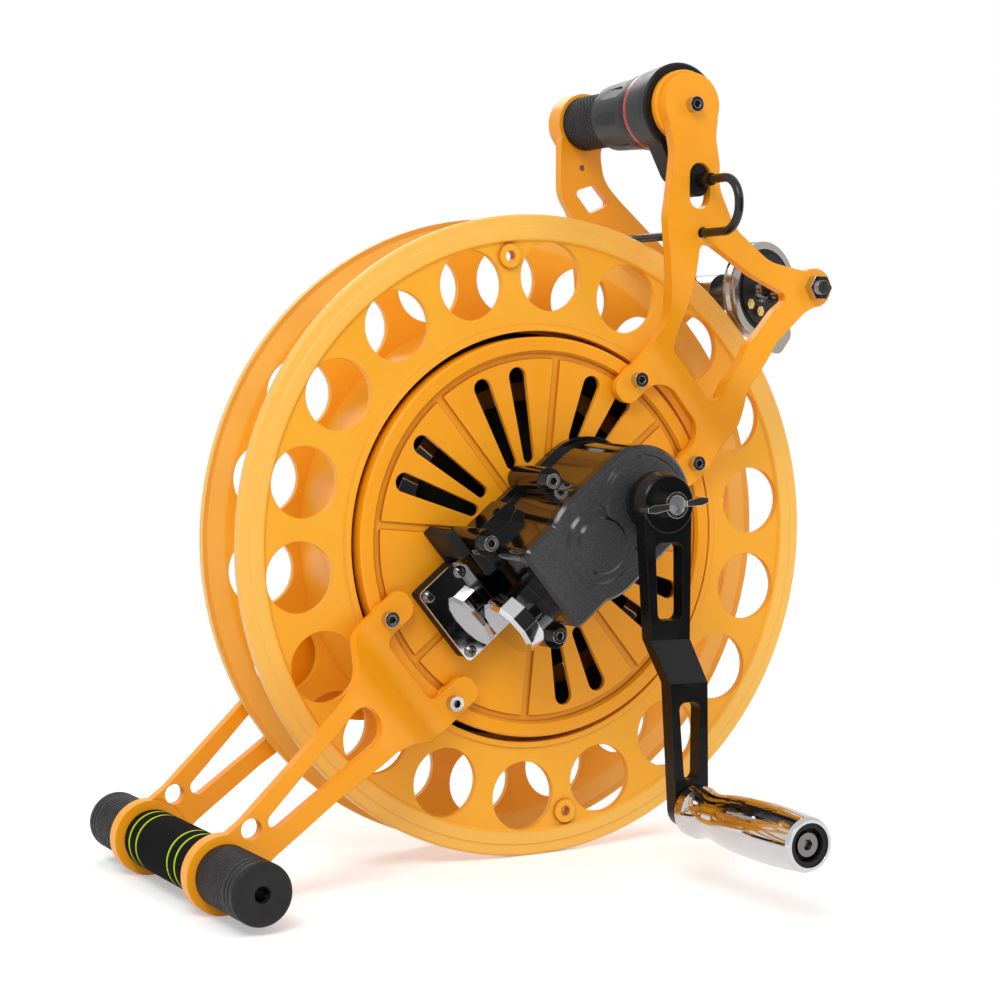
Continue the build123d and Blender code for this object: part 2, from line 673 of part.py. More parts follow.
def handle_collar():
    body = tube(HANDLE_X, HANDLE_Z, COLLAR_R, HANDLE_ROD_R, COLLAR_FRONT, HOUSING_FRONT)
    return chamfer(body.edges().filter_by(GeomType.CIRCLE).sort_by(SortBy.RADIUS)[-2:], 0.8)


def shifter_housing():
    """Cable housing beside the twist barrel, with a tail down to the plate's slot."""
    profile = [(HANDLE_ROD_R, HOUSING_FRONT), (HOUSING_R - 1.0, HOUSING_FRONT),
               (HOUSING_R, HOUSING_FRONT + 1.0), (HOUSING_R - 0.4, HOUSING_FRONT + 7.0),
               (HOUSING_REAR_R, HOUSING_BACK - 1.0), (HOUSING_REAR_R - 1.0, HOUSING_BACK),
               (HANDLE_ROD_R, HOUSING_BACK)]
    body = turned(profile, HANDLE_X, HANDLE_Z)
    tail = rounded_bar(HANDLE_X, HANDLE_Z, 21.0, 72.5, 208.0, 9.0)
    tail -= Pos(HANDLE_X, HANDLE_Z) * Circle(HANDLE_ROD_R)
    body += slab(tail, HOUSING_FRONT, HOUSING_FRONT + 14.0)
    block = rounded_bar(74.4, 197.0, 6.1, 74.4, 202.2, 6.1)
    body += slab(block, PLATE_FACE + 1.5, HOUSING_FRONT + 6.0)
    return body - disc(BOOT_X, BOOT_Z, CABLE_R, PLATE_FACE, HOUSING_FRONT)


def shift_ring():
    return tube(HANDLE_X, HANDLE_Z, SHIFT_RING_R, HANDLE_ROD_R, HOUSING_BACK, HOUSING_BACK + SHIFT_RING_T)


def twist_barrel():
    """Twist grip: tapered barrel with a ring of finger hollows."""
    front = BARREL_FRONT
    back = BARREL_FRONT + BARREL_LENGTH
    bore = HANDLE_ROD_R + RUNNING_FIT
    profile = [(bore, front), (BARREL_R - 1.0, front), (BARREL_R, front + 1.0), (BARREL_R, front + 6.0),
               (BARREL_R - 0.8, front + 7.0), (BARREL_TAIL_R, back - 1.0), (BARREL_TAIL_R - 1.0, back),
               (bore, back)]
    body = turned(profile, HANDLE_X, HANDLE_Z)
    hollow = SlotOverall(24.0, 7.0)
    for index in range(BARREL_HOLLOWS):
        turn = index * 360 / BARREL_HOLLOWS + 10
        x, z = polar(BARREL_R + 1.0, turn)
        plane = Plane(origin=(HANDLE_X + x, (front + back) / 2 + 2.5, HANDLE_Z + z), x_dir=(0, 1, 0),
                      z_dir=(-math.cos(math.radians(turn)), 0, -math.sin(math.radians(turn))))
        body -= plane * extrude(hollow, 3.4)
    return body


def handle_grip():
    return tube(HANDLE_X, HANDLE_Z, HANDLE_GRIP_R, HANDLE_ROD_R, GRIP_START, HANDLE_END)


# ---- brake cable -------------------------------------------------------------
CABLE_R = 2.5
CABLE_HOLE_R = 3.2
CABLE_X = 77.0
CABLE_Z = 170.8
CABLE_LOOP = 80.0            # the loop stands out this far in front of the spool
CABLE_DROP_Y = SPOOL_WIDTH + 6.6
BOOT_X = 76.4
BOOT_Z = 200.0
STOP_FROM = 36.0
STOP_TO = 48.0
TIP_X = BRAKE_PIVOT_R * math.cos(math.radians(BRAKE_PIVOT_ANGLE))
PIVOT_Z = BRAKE_PIVOT_R * math.sin(math.radians(BRAKE_PIVOT_ANGLE))
TIP_Z = PIVOT_Z + BRAKE_LEVER


def brake_cable():
    """Outer cable: out of the boot, back through the plate, over the spool and
    down behind it to the stop."""
    points = [(BOOT_X, PLATE_FACE + 1.5, BOOT_Z), (BOOT_X, -CABLE_LOOP, BOOT_Z),
              (CABLE_X, -CABLE_LOOP, CABLE_Z), (CABLE_X, CABLE_DROP_Y, CABLE_Z),
              (70.0, CABLE_DROP_Y, TIP_Z), (STOP_FROM + 4.0, CABLE_DROP_Y, TIP_Z)]
    route = FilletPolyline(*points, radius=[14.0, 14.0, 13.0, 22.0])
    start = Plane(origin=points[0], z_dir=(0, -1, 0))
    cable = sweep(start * Circle(CABLE_R), path=route)
    volume = math.pi * CABLE_R ** 2 * route.length
    print("cable: smallest bend 13.0, length", round(route.length, 1),
          "volume", round(cable.volume), "of", round(volume))
    return cable


def cable_boot():
    """Rubber boot where the cable leaves the housing block."""
    front = PLATE_FACE + 1.5
    return turned([(CABLE_R, front), (4.2, front), (4.2, front - 3.0), (3.5, front - 10.0),
                   (CABLE_R, front - 10.0)], BOOT_X, BOOT_Z)


def cable_stop():
    """Bracket on the far plate whose barrel holds the end of the outer cable."""
    back = FAR_PLATE_FACE - FAR_PLATE_T
    foot = Pos((STOP_FROM + 75.0) / 2, TIP_Z) * RectangleRounded(75.0 - STOP_FROM, 9.0, 2.0)
    body = slab(foot, back - 1.8, back)
    middle = Plane(origin=(STOP_FROM, CABLE_DROP_Y, TIP_Z), z_dir=(1, 0, 0))
    body += middle * extrude(Circle(4.6), STOP_TO - STOP_FROM)
    body -= middle * extrude(Circle(1.6), 4.0)
    body -= (Plane(origin=(STOP_FROM + 4.0, CABLE_DROP_Y, TIP_Z), z_dir=(1, 0, 0))
             * extrude(Circle(CABLE_R), 60.0))
    return body


def brake_wire():
    start = Plane(origin=(TIP_X + 4.7, CABLE_DROP_Y, TIP_Z), z_dir=(1, 0, 0))
    return start * extrude(Circle(WIRE_R), STOP_FROM + 4.0 - TIP_X - 4.7)


def brake_lever():
    """Outer arm of the brake: turns with its shaft and carries the nipple."""
    mid = CABLE_DROP_Y
    arm = rounded_bar(TIP_X, PIVOT_Z, 7.0, TIP_X, TIP_Z, 4.5)
    body = slab(arm, mid - BRAKE_LEVER_T / 2, mid + BRAKE_LEVER_T / 2)
    body += disc(TIP_X, PIVOT_Z, BRAKE_SHAFT_R, SHOE_FRONT, mid + 4.0)
    return body + disc(TIP_X, TIP_Z, 3.0, mid - 3.2, mid + 3.2)


def brake_shoe_arm():
    """Arm inside the cover, from the lever's shaft to the back of the shoe."""
    inner = RING_R + SHOE_GAP + SHOE_T
    back = arc_band(inner, inner + 2.5, SHOE_FROM, SHOE_TO)
    x, z = polar(inner + 2.0, SHOE_TO - 3.0)
    arm = rounded_bar(TIP_X, PIVOT_Z, BRAKE_ARM_R, x, z, 3.0) + back
    arm -= Circle(inner)
    arm -= Pos(TIP_X, PIVOT_Z) * Circle(BRAKE_SHAFT_R)
    return slab(arm, SHOE_FRONT + 2.0, SHOE_FRONT + 8.0)


def arc_band(inner, outer, low, high):
    """Sector of a ring between two angles less than half a turn apart."""
    reach = outer * 1.6
    wedge = make_face(Polyline((0, 0), polar(reach, low), polar(reach, (low + high) / 2),
                               polar(reach, high), close=True))
    return (Circle(outer) - Circle(inner)) & wedge


def brake_shoe():
    inner = RING_R + SHOE_GAP
    return slab(arc_band(inner, inner + SHOE_T, SHOE_FROM, SHOE_TO), SHOE_FRONT, SHOE_FRONT + SHOE_W)


# ---- line guide --------------------------------------------------------------
HUB_R = 21.5
HUB_T = 10.0
BEARING_RING_R = 24.4
TAIL_T = 1.8


def guide_axle():
    rod = disc(GUIDE_X, GUIDE_Z, GUIDE_AXLE_R, PLATE_FACE - 8.0, FAR_PLATE_FACE + 8.0)
    rod += disc(GUIDE_X, GUIDE_Z, 5.5, GUIDE_Y - 4.0, GUIDE_Y + 4.0)
    pin = Pos(GUIDE_X, GUIDE_Y, GUIDE_Z) * Cylinder(2.0, 20.0)
    return rod - pin


def guide_nuts():
    return group([hex_nut(GUIDE_X, GUIDE_Z, 13.0, PLATE_FACE - 6.0, PLATE_FACE, GUIDE_AXLE_R),
                  hex_nut(GUIDE_X, GUIDE_Z, 13.0, FAR_PLATE_FACE, FAR_PLATE_FACE + 6.0, GUIDE_AXLE_R)])


def guide_spacers():
    near = tube(GUIDE_X, GUIDE_Z, 7.0, GUIDE_AXLE_R, PLATE_FACE + PLATE_T, GUIDE_Y - 20.0)
    far = tube(GUIDE_X, GUIDE_Z, GUIDE_BOSS_R, GUIDE_AXLE_R, GUIDE_Y + 37.0, FAR_PLATE_FACE - FAR_PLATE_T)
    return group([near, far])


def guide_pivot_pin():
    return Pos(GUIDE_X, GUIDE_Y, GUIDE_Z) * Cylinder(2.0, 38.0)


def swivelled(body):
    """Put a part drawn square at the guide's centre into its swivelled rest."""
    return Pos(GUIDE_X, GUIDE_Y, GUIDE_Z) * Rot(0, 0, GUIDE_TURN) * body


def guide_hub():
    """Disc that swivels on the upright pin; its slot clears the axle."""
    outline = Circle(HUB_R) - RectangleRounded(19.0, 14.0, 4.0)
    body = slab(outline, -HUB_T / 2, HUB_T / 2)
    body -= Cylinder(2.0 + RUNNING_FIT, 38.4)
    for x, z in GUIDE_BOLTS:
        body -= disc(x, z, 1.5, -HUB_T, HUB_T)
    return swivelled(body)


GUIDE_BOLTS = [(-7.0, -12.5), (-16.0, -8.5), (12.0, -12.0)]


def guide_bearing():
    return swivelled(tube(0, 0, BEARING_RING_R, HUB_R, -HUB_T / 2 + 0.8, HUB_T / 2 - 0.8))


def guide_wheel():
    inner = BEARING_RING_R + RUNNING_FIT
    return swivelled(turned([(inner, -4.5), (GUIDE_R - 0.6, -4.5), (GUIDE_R, -3.9), (GUIDE_R, -2.2),
                             (GUIDE_R - 1.6, 0.0), (GUIDE_R, 2.2), (GUIDE_R, 3.9), (GUIDE_R - 0.6, 4.5),
                             (inner, 4.5)]))


def guide_tail():
    """Sheet behind the hub that reaches out below the guide wheel."""
    outline = soft_outline([(-19.0, -6.0), (-10.0, -12.0), (10.0, -10.0), (16.0, -12.0), (37.0, -22.0),
                            (37.0, -27.0), (27.0, -37.5), (10.0, -35.0), (-4.0, -19.0), (-19.0, -12.0)], 8.0)
    body = slab(outline, HUB_T / 2, HUB_T / 2 + TAIL_T)
    for x, z in GUIDE_BOLTS:
        body -= disc(x, z, 1.5, 0, HUB_T)
    return swivelled(body)


def guide_bolts():
    pieces = []
    for x, z in GUIDE_BOLTS:
        bolt = disc(x, z, 1.5, -HUB_T / 2 - 2.4, HUB_T / 2 + TAIL_T)
        bolt += disc(x, z, 2.8, HUB_T / 2 + TAIL_T, HUB_T / 2 + TAIL_T + 2.0)
        bolt += slab(Pos(x, z) * RegularPolygon(3.2, 6), -HUB_T / 2 - 2.2, -HUB_T / 2)
        pieces.append(swivelled(bolt))
    return group(pieces)


# ---- gearbox -----------------------------------------------------------------
BOX_WALL = 2.4
COLLAR_H = 2.5               # raised collar of the gearbox cover round the crank
BOX_LEFT = 39.0
BOX_HALF = 27.0
BOX_FLOOR = -44.4
BOX_FLOOR_T = 3.0
EAR_R = 7.5
EAR_TOP = -36.0
BASE_FACE = -8.0
SHELF_FACE = -20.0
NOSE_N = -10.3               # selector knob axis across the machine axis
NOSE_Y = -36.9
KNOB_R = 18.0
KNOB_FROM = -61.3
KNOB_TO = -50.0
NOSE_TO = -49.6
PAWL = (-27.0, 14.0)         # the pawl's post, along and across the machine axis
PAWL_PIN_R = 2.0


def box_screws():
    return [(-39.6, 33.5), (-39.6, -33.5), (10.4, 34.6), (10.4, -34.6)]


def box_outline(grow):
    """Gearbox outline along the machine axis, drawn larger by grow."""
    outline = rounded_bar(0, 0, BOX_R + grow, GEAR_CENTRES, 0, BOX_R + grow)
    block = Rectangle(BOX_LEFT + grow, 2 * (BOX_HALF + grow))
    outline += Pos(-(BOX_LEFT + grow) / 2, 0) * block
    corners = outline.vertices().sort_by(Axis.X)[:2]
    return fillet(corners, 5.0 + grow)


def gearbox_housing():
    body = slab(canted(box_outline(0)), BOX_FRONT, COVER_FACE)
    base = rounded_bar(0, 0, BOX_R + 3, GEAR_CENTRES, 0, BOX_R + 3)
    base += Pos(-17.0, 0) * RectangleRounded(58.0, 70.0, 4.0)
    body += slab(canted(base), BASE_FACE, COVER_FACE)
    shelf = Pos(-27.0, 24.0) * RectangleRounded(37.0, 24.0, 3.0)
    body += slab(canted(shelf), SHELF_FACE, COVER_FACE)
    for e, n in box_screws():
        x, z = along(e, n)
        body += disc(x, z, EAR_R, EAR_TOP, COVER_FACE)
    cavity = canted(box_outline(-BOX_WALL))
    body -= slab(cavity, BOX_FRONT - 1, BOX_FLOOR)
    body -= slab(cavity, BOX_FLOOR + BOX_FLOOR_T, COVER_FACE + 1)
    seat = tube(CRANK_X, CRANK_Z, CRANK_BEARING_R + 2.5, CRANK_BEARING_R, BOX_FLOOR, BOX_FLOOR + 8.5)
    body += seat
    body -= disc(CRANK_X, CRANK_Z, CRANK_BEARING_R, BOX_FLOOR - 1, BOX_FLOOR + CRANK_BEARING_W)
    body -= disc(0, 0, SHAFT_R + 1.0, BOX_FLOOR - 1, 0)
    for e, n in box_screws():
        x, z = along(e, n)
        body -= disc(x, z, 2.5, EAR_TOP - 1, COVER_FACE + 1)
        body -= disc(x, z, 4.5, BOX_FRONT - 1, EAR_TOP)
    x, z = along(*PAWL)
    body += disc(x, z, PAWL_PIN_R, BOX_FLOOR, NOSE_Y + 3.5)
    nose = nose_tube(14.5, 0, NOSE_TO, -BOX_LEFT + 0.5)
    body += nose
    return body - nose_tube(4.0 + RUNNING_FIT, 0, NOSE_TO - 1, -BOX_LEFT + 5)


def nose_tube(outer, inner, low, high):
    """Cylinder along the selector's axis between two distances along the machine axis."""
    outline = Circle(outer) - Circle(inner) if inner else Circle(outer)
    plane = Plane(origin=(low, NOSE_Y, NOSE_N), x_dir=(0, 1, 0), z_dir=(1, 0, 0))
    return Rot(0, -CANT, 0) * (plane * extrude(outline, high - low))


def gearbox_cover():
    outline = canted(box_outline(0))
    body = slab(outline, BOX_FACE, BOX_FRONT)
    rim = canted(box_outline(-BOX_WALL - 0.1) - box_outline(-BOX_WALL - 2.1))
    body += slab(rim, BOX_FRONT, BOX_FRONT + 3.0)
    body = chamfer(body.faces().sort_by(Axis.Y)[0].outer_wire().edges(), 2.0)
    body += turned([(0, BOX_FACE - 3.5), (14.0, BOX_FACE - 3.5), (16.0, BOX_FACE - 2.0), (19.5, BOX_FACE - 1.6),
                    (21.5, BOX_FACE), (0, BOX_FACE)])
    body += turned([(CRANK_SHAFT_R + 1.0, BOX_FACE - COLLAR_H), (24.0, BOX_FACE - COLLAR_H), (26.0, BOX_FACE),
                    (CRANK_SHAFT_R + 1.0, BOX_FACE)], CRANK_X, CRANK_Z)
    body -= disc(CRANK_X, CRANK_Z, CRANK_SHAFT_R + 1.0, BOX_FACE - 9, BOX_FRONT + 4)
    return body - disc(CRANK_X, CRANK_Z, CRANK_BEARING_R, BOX_FACE + 1.5, BOX_FRONT + 4)


def gearbox_screws():
    screws = []
    for e, n in box_screws():
        x, z = along(e, n)
        screws.append(socket_screw(x, z, EAR_TOP, COVER_FACE + COVER_T - EAR_TOP))
    return group(screws)


def crank_bearings():
    bore = CRANK_SHAFT_R + RUNNING_FIT
    front = BOX_FACE + 1.5
    return group([ball_bearing(CRANK_X, CRANK_Z, CRANK_BEARING_R, bore, front, front + CRANK_BEARING_W),
                  ball_bearing(CRANK_X, CRANK_Z, CRANK_BEARING_R, bore, BOX_FLOOR, BOX_FLOOR + CRANK_BEARING_W)])


SIDE_PLATE = [(-82.0, -18.0), (-49.5, -18.0), (-49.5, 25.0), (-54.0, 31.0), (-82.0, 31.0)]
PLATE_SCREWS = [(-77.5, -13.5), (-54.0, -13.5), (-77.5, 26.5), (-55.0, 24.5)]


def side_plate_base():
    """Dark spacer under the bright side plate, with a small box beside it."""
    outline = soft_outline(SIDE_PLATE, 3.0)
    outline = offset(outline, amount=-1.2)
    body = slab(canted(outline), -14.5, COVER_FACE)
    stem = slab(canted(Pos(-51.0, 33.0) * Rectangle(6.0, 12.0)), BASE_FACE, COVER_FACE)
    box = slab(canted(Pos(-51.0, 42.0) * RectangleRounded(6.0, 17.0, 1.0)), -30.0, COVER_FACE)
    return body + stem + box


def side_plate():
    return slab(canted(soft_outline(SIDE_PLATE, 3.0)), -16.0, -14.5)


def side_plate_screws():
    screws = []
    for e, n in PLATE_SCREWS:
        x, z = along(e, n)
        head = turned([(0, -18.2), (2.2, -18.2), (3.4, -17.0), (3.4, -16.0), (0, -16.0)], x, z)
        cross = Pos(x, z) * (Rectangle(4.0, 0.8) + Rectangle(0.8, 4.0))
        head -= slab(cross, -19.0, -17.2)
        screws.append(head)
    return group(screws)


def selector_knob():
    """Faceted knob on the end of the selector shaft."""
    plane = Plane(origin=(KNOB_FROM, NOSE_Y, NOSE_N), x_dir=(0, 1, 0), z_dir=(1, 0, 0))
    body = plane * extrude(RegularPolygon(KNOB_R, 12), KNOB_TO - KNOB_FROM)
    body = chamfer(body.faces().sort_by(Axis.X)[0].edges(), 2.0)
    bore = Plane(origin=(KNOB_TO - 6.0, NOSE_Y, NOSE_N), z_dir=(1, 0, 0)) * extrude(Circle(4.0), 7.0)
    return Rot(0, -CANT, 0) * (body - bore)


def selector_shaft():
    """Shaft from the knob to a cam beside the pawl."""
    shaft = nose_tube(4.0, 0, KNOB_TO - 6.0, -31.0)
    plane = Plane(origin=(-31.0, NOSE_Y, NOSE_N + 1.5), z_dir=(1, 0, 0))
    return shaft + Rot(0, -CANT, 0) * (plane * extrude(Circle(2.0), 5.5))


def ratchet_wheel():
    """Toothed wheel on the spool's shaft behind the gears."""
    outline = Circle(11.5)
    tooth = make_face(Polyline((11.0, -2.2), (14.0, 2.4), (11.0, 2.4), close=True))
    for index in range(12):
        outline += Rot(0, 0, index * 30 + 8) * tooth
    return slab(outline - Circle(SHAFT_R), NOSE_Y - 2.5, NOSE_Y + 2.5)


def pawl():
    """Pawl on its post; the selector's cam can swing it towards the ratchet."""
    arm = rounded_bar(PAWL[0], PAWL[1], 4.0, -19.5, -9.5, 2.4)
    arm -= Pos(*PAWL) * Circle(PAWL_PIN_R + RUNNING_FIT)
    return slab(canted(arm), NOSE_Y - 2.5, NOSE_Y + 2.5)


# ---- crank -------------------------------------------------------------------
CRANK_FOOT_Z = CRANK_Z - CRANK_RADIUS
CRANK_GRIP_X = 28.5
ARM_T = 9.0
HUB_FACE = -92.0


def crank_shaft():
    return disc(CRANK_X, CRANK_Z, CRANK_SHAFT_R, -99.0, BOX_FLOOR + CRANK_BEARING_W - 0.5)


def crank_arm():
    """Kinked arm: a long slotted web from the round hub to the grip's foot."""
    front = [(CRANK_Z + 30, -89.0), (-49.0, -95.0), (-70.0, -113.0), (CRANK_FOOT_Z - 20, -118.5)]
    back = [(z, y + ARM_T) for z, y in reversed(front)]
    side = make_face(Polyline(*[(y, z) for z, y in front + back], close=True))
    web = Plane(origin=(CRANK_X - 30, 0, 0), x_dir=(0, 1, 0), z_dir=(1, 0, 0)) * extrude(side, 60)
    outline = make_hull(edges_of(CRANK_X, CRANK_Z, 15.0) + edges_of(27.6, -49.0, 12.2))
    outline += make_hull(edges_of(27.6, -49.0, 12.2) + edges_of(CRANK_GRIP_X, CRANK_FOOT_Z, 10.0))
    outline -= soft_outline([(19.0, 2.5), (36.0, 2.5), (35.4, -38.7), (19.8, -38.7)], 4.0)
    outline -= soft_outline([(21.3, -80.0), (34.7, -80.0), (33.0, -121.0), (23.8, -121.0)], 4.0)
    body = slab(outline, -125, -75) & web
    body += turned([(CRANK_SHAFT_R, -71.5), (14.0, -71.5), (15.0, -74.0), (17.7, -80.0), (17.7, -85.0),
                    (16.0, HUB_FACE + 1.0), (15.0, HUB_FACE), (CRANK_SHAFT_R, HUB_FACE)], CRANK_X, CRANK_Z)
    body -= disc(CRANK_X, CRANK_Z, CRANK_SHAFT_R, -130, -70)
    return body - disc(CRANK_GRIP_X, CRANK_FOOT_Z, 3.0, -130, -100)


def wing_nut():
    body = tube(CRANK_X, CRANK_Z, 7.0, CRANK_SHAFT_R, -99.5, HUB_FACE)
    wing = make_face(Polyline((5.6, -1.6), (15.0, -2.2), (19.0, -1.2), (19.0, 1.2), (15.0, 2.2), (5.6, 1.6),
                              close=True))
    for turn in (8, 188):
        body += slab(Pos(CRANK_X, CRANK_Z) * Rot(0, 0, turn) * wing, -101.0, HUB_FACE - 0.3)
    return body


GRIP_CORE_R = 11.0
GRIP_BOLT_R = 3.0


def crank_grip():
    """Waisted hollow hand grip that turns on its bolt."""
    outer = [(12.6, -119.5), (13.8, -121.0), (13.8, -127.0), (12.2, -142.0), (13.5, -152.0), (14.8, -172.0),
             (15.2, -192.0), (14.4, -208.0), (13.7, -218.0), (12.7, -220.0)]
    wall = Polyline(*outer[:3]) + Spline(*outer[2:9]) + Polyline(*outer[8:])
    wall += Polyline(outer[-1], (GRIP_CORE_R, -220.0), (GRIP_CORE_R, -119.5), outer[0])
    return Pos(CRANK_GRIP_X, 0, CRANK_FOOT_Z) * revolve(make_face(wall), Axis.Y)


def crank_grip_bushes():
    """Plastic bushes at both ends of the hollow grip; the outer one is recessed."""
    bore = GRIP_BOLT_R + RUNNING_FIT
    inner = turned([(bore, -132.0), (GRIP_CORE_R, -132.0), (GRIP_CORE_R, -119.5), (bore, -119.5)],
                   CRANK_GRIP_X, CRANK_FOOT_Z)
    outer = turned([(bore, -214.0), (8.4, -214.0), (8.4, -219.0), (GRIP_CORE_R, -219.0), (GRIP_CORE_R, -203.0),
                    (bore, -203.0)], CRANK_GRIP_X, CRANK_FOOT_Z)
    return group([inner, outer])


def crank_grip_bolt():
    """Axle bolt of the grip; its socket head sits in the grip's end."""
    head = disc(CRANK_GRIP_X, CRANK_FOOT_Z, 6.0, -218.0, -214.2)
    head -= slab(Pos(CRANK_GRIP_X, CRANK_FOOT_Z) * RegularPolygon(2.9, 6), -220.0, -215.5)
    return head + disc(CRANK_GRIP_X, CRANK_FOOT_Z, GRIP_BOLT_R, -214.2, -108.0)


# ---- all parts ---------------------------------------------------------------
makers = [
    spool_flange_front, spool_flange_rear, spool_drum, spool_hub, brake_rings, spool_shaft,
    spool_pinion, ratchet_wheel, spool_bearings, side_cover_front, side_cover_rear, foot_arm_front,
    foot_arm_rear, upper_plate_front, upper_plate_rear, side_screws, foot_bar_tube, foot_grip_front,
    foot_grip_rear, foam_sleeve, handle_rod, handle_screws, handle_collar, shifter_housing, shift_ring,
    twist_barrel, handle_grip, brake_cable, cable_boot, cable_stop, brake_wire, brake_lever,
    brake_shoe_arm, brake_shoe, guide_axle, guide_nuts, guide_spacers, guide_pivot_pin, guide_hub,
    guide_bearing, guide_wheel, guide_tail, guide_bolts, gearbox_housing, gearbox_cover, gearbox_screws,
    crank_bearings, drive_gear, crank_shaft, crank_arm, wing_nut, crank_grip, crank_grip_bushes,
    crank_grip_bolt,
    side_plate_base, side_plate, side_plate_screws, selector_knob, selector_shaft, pawl,
]

parts = {maker.__name__: Rot(0, REST_TURN, 0) * maker() for maker in makers}
boxes = [body.bounding_box() for body in parts.values()]
low = [min(getattr(box.min, axis) for box in boxes) for axis in "XYZ"]
high = [max(getattr(box.max, axis) for box in boxes) for axis in "XYZ"]
shift = Pos(-(low[0] + high[0]) / 2, -(low[1] + high[1]) / 2, -low[2])
for name, body in parts.items():
    export_step(shift * body, f"parts/{name}.step")

def placed(x, y, z):
    """Where a point of the drawing lies in the finished model, in metres."""
    spot = (shift * Rot(0, REST_TURN, 0) * Pos(x, y, z)).position
    return [round(value / 1000, 5) for value in spot]


print("size", [round(b - a, 2) for a, b in zip(low, high)], "turn", round(REST_TURN, 3))
print("spool", placed(0, 0, 0), "crank", placed(CRANK_X, 0, CRANK_Z))
print("crank grip", placed(CRANK_GRIP_X, 0, CRANK_FOOT_Z), "twist", placed(HANDLE_X, 0, HANDLE_Z))
print("brake pivot", placed(TIP_X, 0, PIVOT_Z), "guide", placed(GUIDE_X, GUIDE_Y, GUIDE_Z))
selector = along(0, NOSE_N)
pawl_at = along(*PAWL)
print("selector", placed(selector[0], NOSE_Y, selector[1]), "pawl", placed(pawl_at[0], NOSE_Y, pawl_at[1]))
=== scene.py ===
import json
import math

import bpy
from mathutils import Matrix, Vector

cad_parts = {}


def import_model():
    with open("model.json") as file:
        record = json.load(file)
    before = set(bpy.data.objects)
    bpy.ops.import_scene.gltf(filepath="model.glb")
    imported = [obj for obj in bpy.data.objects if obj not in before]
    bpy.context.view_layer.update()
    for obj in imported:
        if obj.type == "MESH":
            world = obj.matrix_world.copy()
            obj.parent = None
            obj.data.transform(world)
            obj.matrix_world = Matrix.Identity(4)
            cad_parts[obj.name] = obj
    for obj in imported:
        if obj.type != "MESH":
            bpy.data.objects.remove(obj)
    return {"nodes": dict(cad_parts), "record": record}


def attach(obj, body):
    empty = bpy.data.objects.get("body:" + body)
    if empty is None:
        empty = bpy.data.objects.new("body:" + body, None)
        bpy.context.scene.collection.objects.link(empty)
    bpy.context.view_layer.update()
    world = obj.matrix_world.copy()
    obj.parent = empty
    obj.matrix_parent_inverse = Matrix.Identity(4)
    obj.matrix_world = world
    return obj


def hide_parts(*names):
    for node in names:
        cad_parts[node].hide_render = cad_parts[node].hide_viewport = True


# Kite line winder: looks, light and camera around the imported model. Metres, +Z up.

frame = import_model()
nodes = frame["nodes"]
bodies = frame["record"]["behaviour"]["bodies"]
scene = bpy.context.scene
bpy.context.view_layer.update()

MM = 0.001
SPOOL = Vector((0.01854, 0.051, 0.18))       # spool axis at the front flange's plane
TURN = math.radians(1.194)                   # turn of the drawing about the spool axis

# places and sizes of the construction that dressed pieces follow, in drawing millimetres
BAR_X, BAR_Z = -204.7, -163.8
HANDLE_X, HANDLE_Z = 68.5, 241.0
BAR_R = 11.0
FOAM_R = 16.0
FOAM_FRONT, FOAM_BACK = -36.5, 61.5
GRIP_R = 16.2
GRIP_HOLE_R = 4.2
GRIP_CAP_T = 5.0
FRONT_GRIP = (-45.0, -94.0)                  # inner and outer end
REAR_GRIP = (70.0, 118.0)
HANDLE_GRIP_R = 15.9
HANDLE_ROD_R = 8.0
HANDLE_GRIP = (32.7, 70.0)                   # front and back end

# finer forms that only the dressed pieces have, in millimetres
FOAM_GAP = 0.1                               # between the foam and the bar inside it
FOAM_RINGS = (-15.0, -4.5, 42.0, 52.5)       # middles of the coloured rings
FOAM_RING_HALF = 1.0
FOAM_RING_DENT = 0.35                        # how far a ring draws the foam in
FOAM_END_DROP = 1.2                          # how far the foam falls away at its ends
FOAM_SOFTNESS = 1.2                          # reach of both along the sleeve
GRIP_GAP = 0.05                              # between a grip and the bar or rod inside it
GRIP_EDGE = 0.8                              # broken edge at a grip's ends
GRIP_ROUND = 2.0                             # round of a foot grip's closed end
GRIP_ROUND_STEPS = 6
GRIP_HOLE_EDGE = 0.5
BAND_FROM_INNER, BAND_FROM_CAP = 6.0, 8.0    # the dotted band of a foot grip
BAND_MARGIN = 0.5                            # its smooth border
GROOVES_FROM_CAP = (5.0, 1.0)
GROOVE_SECTION = ((-1.0, 0.0), (-0.5, 0.7), (0.0, 1.0), (0.5, 0.7), (1.0, 0.0))
FOOT_DOTS = (36, 3.2, 0.42)                  # dots in a row, pitch of every other row, depth
HANDLE_DOTS = (30, 3.6, 0.55)
HANDLE_MARGIN = 1.2                          # smooth border of the handle's dots
DOT_STEEPNESS = 1.4
FOOT_GRIP_STEPS = 288                        # steps round the turned mesh
HANDLE_GRIP_STEPS = 240


def at(x, y, z):
    """A point of the drawing, in millimetres, placed in the row frame."""
    turned = Vector((x * math.cos(TURN) + z * math.sin(TURN), y, z * math.cos(TURN) - x * math.sin(TURN)))
    return SPOOL + turned * MM


def body_of(node):
    return next(name for name, members in bodies.items() if node in members)


